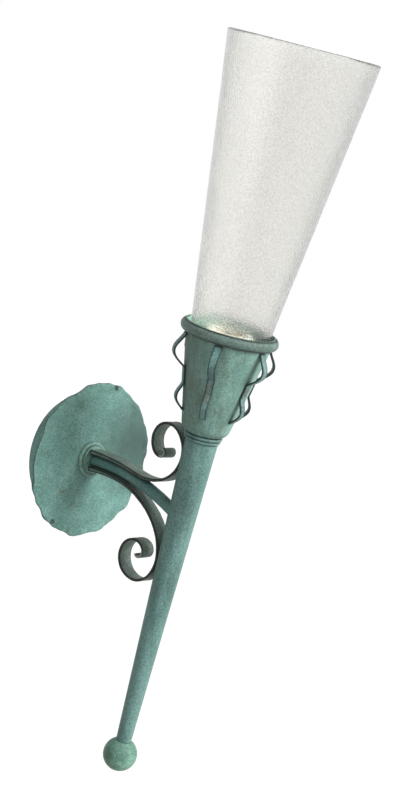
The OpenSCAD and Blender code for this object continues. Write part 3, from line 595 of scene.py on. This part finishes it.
# %% [markdown]
# ## Porcelain, wires and small metals
# Most of the electrical pieces are hidden, and each is one plain stuff: glazed porcelain,
# zinc, brass, rubber or coated wire. One function makes these finishes from a colour and a
# roughness. A noise darkens the colour in spots, varies the roughness and gives a fine bump,
# because nothing real is quite even.

# %% Porcelain, wires and small metals
SPOT_SCALE = 400.0
SPOT_STEP = (0.35, 0.65)
SPOT_DEPTH = 0.0002
SMOOTHER = 0.08
ROUGHER = 0.12


def plain_finish(name, colour, roughness, metallic=0.0, speck=0.06, bump=0.1):
    """A finish for small pieces: one colour that a noise darkens a little in spots."""
    finish, tree, shader = new_finish(name)
    shader.inputs["Metallic"].default_value = metallic
    where = add_node(tree, "ShaderNodeTexCoord", (-6, 0))
    spots = noise(tree, (-5, 0), where.outputs["Object"], SPOT_SCALE, 3.0)
    dark = tuple(part * (1 - speck * 3) for part in colour[:3]) + (1,)
    shade = blend_colours(tree, (-2, 0), step_up(tree, (-4, 0), spots, *SPOT_STEP), dark, colour)
    rough = add_node(tree, "ShaderNodeMapRange", (-2, -2))
    rough.inputs["To Min"].default_value = roughness - SMOOTHER
    rough.inputs["To Max"].default_value = roughness + ROUGHER
    relief = add_node(tree, "ShaderNodeBump", (-2, -4), Strength=bump, Distance=SPOT_DEPTH)
    link_all(tree, (shade, shader.inputs["Base Color"]), (spots, rough.inputs["Value"]),
             (rough.outputs[0], shader.inputs["Roughness"]), (spots, relief.inputs["Height"]),
             (relief.outputs[0], shader.inputs["Normal"]))
    return finish


dress(plain_finish("porcelain", paint(232, 231, 220), 0.22, speck=0.02), "holder_body",
      "holder_cap")
dress(plain_finish("zinc", paint(168, 170, 172), 0.34, metallic=1.0), "mounting_bar",
      "wall_nipple", "wall_washer", "wall_nut", "finial_stud", "torch_nipple", "cup_washer",
      "cup_nut")
dress(plain_finish("brass", paint(205, 168, 92), 0.3, metallic=1.0), "screw_shell",
      "centre_contact", "terminal_screws", "holder_screws")
dress(plain_finish("green_screw", paint(44, 118, 62), 0.4, metallic=0.6), "ground_screw")
dress(plain_finish("gasket", paint(52, 50, 47), 0.8, bump=0.3), "seat_gasket")
dress(plain_finish("seat_iron", paint(88, 96, 90), 0.5, bump=0.3), "seat_ring")
dress(plain_finish("black_wire", paint(26, 26, 27), 0.45), "lead_black")
dress(plain_finish("white_wire", paint(228, 226, 220), 0.45), "lead_white")
left_bare = [name for name, solid in nodes.items() if not solid.data.materials]
print("nodes without a finish:", left_bare)

# %% [markdown]
# ## Forged copies of the solids
# CAD gives crisp solids, but a hammered bar has soft, uneven edges, and cut sheet is never
# quite flat. A copy of such a solid is merged, because a CAD mesh is loose triangles, then
# covered with small even faces by a voxel remesh, smoothed a little, and dented by a cloudy
# noise. The copy keeps the solid's place and size, and stands for it in the picture. A
# rounded edge is too soft for the finish to find it, so each copy also says at its points
# where it turns sharply.

# %% A forged copy of a node
MERGE = 0.00001


def only(piece):
    """Selects one object and makes it the active one."""
    bpy.ops.object.select_all(action="DESELECT")
    piece.select_set(True)
    bpy.context.view_layer.objects.active = piece


def cast(piece, kind, **settings):
    """Adds a modifier with its settings and applies it."""
    modifier = piece.modifiers.new(kind.lower(), kind)
    for key, value in settings.items():
        setattr(modifier, key, value)
    only(piece)
    bpy.ops.object.modifier_apply(modifier=modifier.name)


def clouds(name, size, depth=2):
    """A cloudy noise for dents."""
    noise_map = bpy.data.textures.new(name, "CLOUDS")
    noise_map.noise_scale = size
    noise_map.noise_depth = depth
    return noise_map


def place_piece(piece, body, slot, finish, *stands_for):
    """Gives a piece its finish and its body, and hides the nodes that it stands for. The slot is
    not used.
    """
    piece.data.materials.clear()
    piece.data.materials.append(finish)
    only(piece)
    bpy.ops.object.shade_smooth()
    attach(piece, body)
    if stands_for:
        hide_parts(*stands_for)
    print(piece.name, len(piece.data.polygons), "faces")


EDGE_FROM = 0.985
EDGE_TO = 0.86


def mark_edges(piece, rounds):
    """Writes where a mesh turns sharply into its attribute "edge".

    The normals are averaged with their neighbours' a few times. On a flat place the
    average keeps its length of 1, and across an edge it grows shorter."""
    mesh = piece.data
    count = len(mesh.vertices)
    normals = np.zeros(count * 3)
    mesh.vertices.foreach_get("normal", normals)
    normals = normals.reshape(-1, 3)
    ends = np.zeros(len(mesh.edges) * 2, dtype=np.int64)
    mesh.edges.foreach_get("vertices", ends)
    first, second = ends[0::2], ends[1::2]
    neighbours = np.bincount(ends, minlength=count) + 1.0
    for _ in range(rounds):
        total = normals.copy()
        for axis in range(3):
            total[:, axis] += np.bincount(first, normals[second, axis], count)
            total[:, axis] += np.bincount(second, normals[first, axis], count)
        normals = total / neighbours[:, None]
    length = np.linalg.norm(normals, axis=1)
    mask = np.clip((EDGE_FROM - length) / (EDGE_FROM - EDGE_TO), 0, 1)
    mesh.attributes.new("edge", "FLOAT", "POINT").data.foreach_set("value", mask)


def forged_copy(node, voxel, rounds, dent, dent_size, edge_rounds=10):
    """A merged copy of a CAD node with even faces, soft edges and dents along its normals."""
    piece = bpy.data.objects.new("forged_" + node, nodes[node].data.copy())
    bpy.context.scene.collection.objects.link(piece)
    only(piece)
    bpy.ops.object.mode_set(mode="EDIT")
    bpy.ops.mesh.select_all(action="SELECT")
    bpy.ops.mesh.remove_doubles(threshold=MERGE)
    bpy.ops.object.mode_set(mode="OBJECT")
    bpy.ops.mesh.customdata_custom_splitnormals_clear()
    cast(piece, "REMESH", mode="VOXEL", voxel_size=voxel)
    cast(piece, "SMOOTH", factor=0.5, iterations=rounds)
    cast(piece, "DISPLACE", texture=clouds("dents_" + node, dent_size), texture_coords="LOCAL",
         strength=dent, mid_level=0.5)
    mark_edges(piece, edge_rounds)
    return piece


def mark(piece, name, values):
    """Writes one number per point into an attribute, which it makes if it isn't there."""
    mesh = piece.data
    layer = mesh.attributes.get(name) or mesh.attributes.new(name, "FLOAT", "POINT")
    layer.data.foreach_set("value", values)


print("points closer than", MERGE, "m are merged")

# %% [markdown]
# ## Bars and straps
# The tip of each bar is rolled round a thin rod, which leaves a hole, a ring of metal and a
# seam where the ring lies against the curl. Hole and ring are in the solid, but on its flat
# side they hardly show. So the points in the hole are marked dark as painted shade, the
# points along the seam are marked as a dark joint, and the ring is marked as rubbed bright.
# The straps only need to be forged.

# %% Bars and straps
# Of each rolled eye: where its centre lies in y and z, and the radii of hole and ring.
EYES = {"upper_scroll": (-0.1080, 0.0225, 0.0019, 0.0038),
        "lower_scroll": (-0.0952, -0.0634, 0.0028, 0.0050)}
END_FACE = 0.7
HOLE_MARGIN = 0.0002
SEAM = 0.0009
RING_RUB = 0.42

for node, (eye_y, eye_z, hole, roll) in EYES.items():
    bar = forged_copy(node, voxel=0.0004, rounds=2, dent=0.0005, dent_size=0.012, edge_rounds=8)
    edge_values = []
    rub_values = []
    for point, edge in zip(bar.data.vertices, bar.data.attributes["edge"].data):
        away = math.hypot(point.co.y - eye_y, point.co.z - eye_z)
        on_end = abs(point.normal.x) > END_FACE
        # Painted shade: the walls of the hole are written as dark edge.
        inside = away < hole + HOLE_MARGIN and not on_end
        seam = on_end and roll < away < roll + SEAM
        ring = on_end and away <= roll
        edge_values.append(1.0 if inside or seam else 0.0 if ring else edge.value)
        rub_values.append(RING_RUB if ring else 0.0)
    mark(bar, "edge", edge_values)
    mark(bar, "rub", rub_values)
    place_piece(bar, "fixed", "verdigris", bar_finish, node)
for node in STRAPS:
    strap = forged_copy(node, voxel=0.00036, rounds=2, dent=0.0004, dent_size=0.009)
    place_piece(strap, "fixed", "verdigris", strap_finish, node)

# %% [markdown]
# ## The rim
# The rim is a rolled bead. Its underside is painted dark as painted shade, through the
# edge attribute that the finish darkens by. The torch leans, so the underside is what turns
# away from the open end along the torch's own axis, which the mount of the lamp gives.

# %% Rim
socket = next(m for m in frame["record"]["mounts"] if m["name"] == "lamp_socket")
TORCH_AXIS = Vector(socket["axis"]).normalized()
TORCH_POINT = Vector(socket["pos_m"])
SHADE_UNDER_FROM = 0.4
SHADE_UNDER_TO = 0.9


def ramp(value, start, end):
    """0 at start, 1 at end, and straight between them."""
    return min(1.0, max(0.0, (value - start) / (end - start)))


rim = forged_copy("cup_rim", voxel=0.0006, rounds=1, dent=0.0003, dent_size=0.010)
# Painted shade: points that face down the torch axis are written as dark edge.
rim_underside_shade = []
for point, edge in zip(rim.data.vertices, rim.data.attributes["edge"].data):
    down = -point.normal.dot(TORCH_AXIS)
    rim_underside_shade.append(max(edge.value, ramp(down, SHADE_UNDER_FROM, SHADE_UNDER_TO)))
mark(rim, "edge", rim_underside_shade)
place_piece(rim, "fixed", "verdigris", rim_finish, "cup_rim")

# %% [markdown]
# ## The plate's waved edge
# The smith nicks and bends the edge of the plate, so it waves outwards and inwards as well
# as in its outline. A vertex group gives the points near the edge a weight. One noise pushes
# only those to and from the wall, and a finer one pushes them along their normals, which at
# the cut edge makes small scallops. The group isn't named edge, because a finish would read
# a vertex group of that name in place of the attribute.

# %% Plate
PLATE_FLAT = 0.050
PLATE_EDGE = 0.064
WAVE_SIZE = 0.014
WAVE_PUSH = 0.003
NICK_SIZE = 0.0095
NICK_PUSH = 0.0026

plate = forged_copy("wavy_plate", voxel=0.0007, rounds=2, dent=0.0006, dent_size=0.016,
                    edge_rounds=2)
edge_group = plate.vertex_groups.new(name="near_edge")
for point in plate.data.vertices:
    share = ramp(math.hypot(point.co.x, point.co.z), PLATE_FLAT, PLATE_EDGE)
    if share > 0:
        edge_group.add([point.index], share * share, "REPLACE")
cast(plate, "DISPLACE", texture=clouds("edge_waves", WAVE_SIZE, 1), texture_coords="LOCAL",
     direction="Y", vertex_group="near_edge", strength=WAVE_PUSH, mid_level=0.5)
cast(plate, "DISPLACE", texture=clouds("edge_nicks", NICK_SIZE, 0), texture_coords="LOCAL",
     direction="NORMAL", vertex_group="near_edge", strength=NICK_PUSH, mid_level=0.5)
print("points near the plate's edge take up to", WAVE_PUSH / 2, "m of wave")

# %% [markdown]
# ## The plate's colour
# Towards one side, right of the boss, the plate is painted darker in a soft patch, and the
# metal of its cut edge is dark. Both are written at the plate's points, the second from how
# far a point's normal has turned from the wall's.

# %% Darker patch and cut edge
DARK_PATCH_AT = (0.056, 0.012)
DARK_PATCH_REACH = 0.055
DARK_PATCH_MOST = 0.95
CUT_NONE = 0.8125
CUT_FULL = 0.1875

# A soft darker patch round a point right of the boss, strongest at its middle.
dark_patch_values = []
cut_values = []
for point in plate.data.vertices:
    away = math.hypot(point.co.x - DARK_PATCH_AT[0], point.co.z - DARK_PATCH_AT[1])
    dark_patch_values.append(DARK_PATCH_MOST * max(0.0, 1 - (away / DARK_PATCH_REACH) ** 2))
    near_edge = math.hypot(point.co.x, point.co.z) > PLATE_FLAT
    cut_values.append(ramp(abs(point.normal.y), CUT_NONE, CUT_FULL) if near_edge else 0.0)
mark(plate, "dark_patch", dark_patch_values)
mark(plate, "edge", cut_values)
place_piece(plate, "fixed", "verdigris", plate_finish, "wavy_plate")

# %% [markdown]
# ## The glass shade
# Blown glass is never even: its wall swells and thins, and fire rounds its edges. The shade
# is a ring of points on the wall's section, read off the CAD solid and spun about the torch
# axis. Two noises then move its skin by a few tenths of a millimetre, and its foot is marked
# for the finish.

# %% Measure the glass
TORCH_TURN = TORCH_AXIS.to_track_quat("Z", "Y").to_matrix().to_4x4()
torch_frame = Matrix.Translation(TORCH_POINT) @ TORCH_TURN


def along_and_out(node):
    """Each point of a node as its height along the torch axis and its distance from it."""
    found = []
    for point in nodes[node].data.vertices:
        from_axis = point.co - TORCH_POINT
        height = from_axis.dot(TORCH_AXIS)
        found.append((height, (from_axis - height * TORCH_AXIS).length))
    return found


END_ZONE = 0.0015
wall = along_and_out("glass_shade")
foot = min(height for height, reach in wall)
mouth = max(height for height, reach in wall)
foot_out = max(reach for height, reach in wall if height < foot + END_ZONE)
foot_in = min(reach for height, reach in wall if height < foot + END_ZONE)
mouth_out = max(reach for height, reach in wall if height > mouth - END_ZONE)
mouth_in = min(reach for height, reach in wall if height > mouth - END_ZONE)
print("glass from", round(foot, 4), "to", round(mouth, 4), "radii", round(foot_out, 4),
      round(foot_in, 4), round(mouth_out, 4), round(mouth_in, 4))

# %% The wall's section
GLASS_RINGS = 120
ROUND_STEPS = 6
ROUND_ANGLES = [math.pi * step / ROUND_STEPS for step in range(1, ROUND_STEPS)]
lip = (mouth_out - mouth_in) / 2
toe = (foot_out - foot_in) / 2

section = []
for ring in range(GLASS_RINGS + 1):
    share = ring / GLASS_RINGS
    section.append((foot_out + share * (mouth_out - foot_out), foot + share * (mouth - foot)))
section[0] = (section[0][0], foot + toe)
section[-1] = (section[-1][0], mouth - lip)
for angle in ROUND_ANGLES:
    section.append((mouth_out - lip + lip * math.cos(angle), mouth - lip + lip * math.sin(angle)))
for ring in range(GLASS_RINGS + 1):
    share = 1 - ring / GLASS_RINGS
    height = min(max(foot + share * (mouth - foot), foot + toe), mouth - lip)
    section.append((foot_in + share * (mouth_in - foot_in), height))
for angle in ROUND_ANGLES:
    section.append((foot_out - toe - toe * math.cos(angle), foot + toe - toe * math.sin(angle)))
print("points round the wall's section:", len(section))

# %% Spin the wall and move its skin
GLASS_STEPS = 240
START_RADIUS = 0.01
SWELL_SIZE = 0.035
SWELL_PUSH = 0.0003
PEBBLE_SIZE = 0.003
PEBBLE_PUSH = 0.00006
SKIN_LEVEL = 0.6
FOOT_REACH = 0.034

bpy.ops.object.select_all(action="DESELECT")
bpy.ops.mesh.primitive_circle_add(vertices=len(section), radius=START_RADIUS)
glass = bpy.context.active_object
glass.name = "seeded_glass_shade"
for point, (reach, height) in zip(glass.data.vertices, section):
    point.co = (reach, 0, height)
bpy.ops.object.mode_set(mode="EDIT")
bpy.ops.mesh.select_all(action="SELECT")
bpy.ops.mesh.spin(steps=GLASS_STEPS, angle=2 * math.pi, center=(0, 0, 0), axis=(0, 0, 1))
bpy.ops.mesh.select_all(action="SELECT")
bpy.ops.mesh.remove_doubles(threshold=MERGE)
bpy.ops.mesh.normals_make_consistent(inside=False)
bpy.ops.object.mode_set(mode="OBJECT")
glass.matrix_world = torch_frame
bpy.ops.object.transform_apply(location=True, rotation=True, scale=True)
cast(glass, "DISPLACE", texture=clouds("glass_swell", SWELL_SIZE, 1), texture_coords="LOCAL",
     strength=SWELL_PUSH, mid_level=SKIN_LEVEL)
cast(glass, "DISPLACE", texture=clouds("glass_pebbles", PEBBLE_SIZE, 1), texture_coords="LOCAL",
     strength=PEBBLE_PUSH, mid_level=SKIN_LEVEL)
foot_values = []
for point in glass.data.vertices:
    height = (point.co - TORCH_POINT).dot(TORCH_AXIS)
    foot_values.append(max(0.0, 1 - (height - foot) / FOOT_REACH))
mark(glass, "foot", foot_values)
place_piece(glass, "shade", "seeded_glass", glass_finish, "glass_shade")
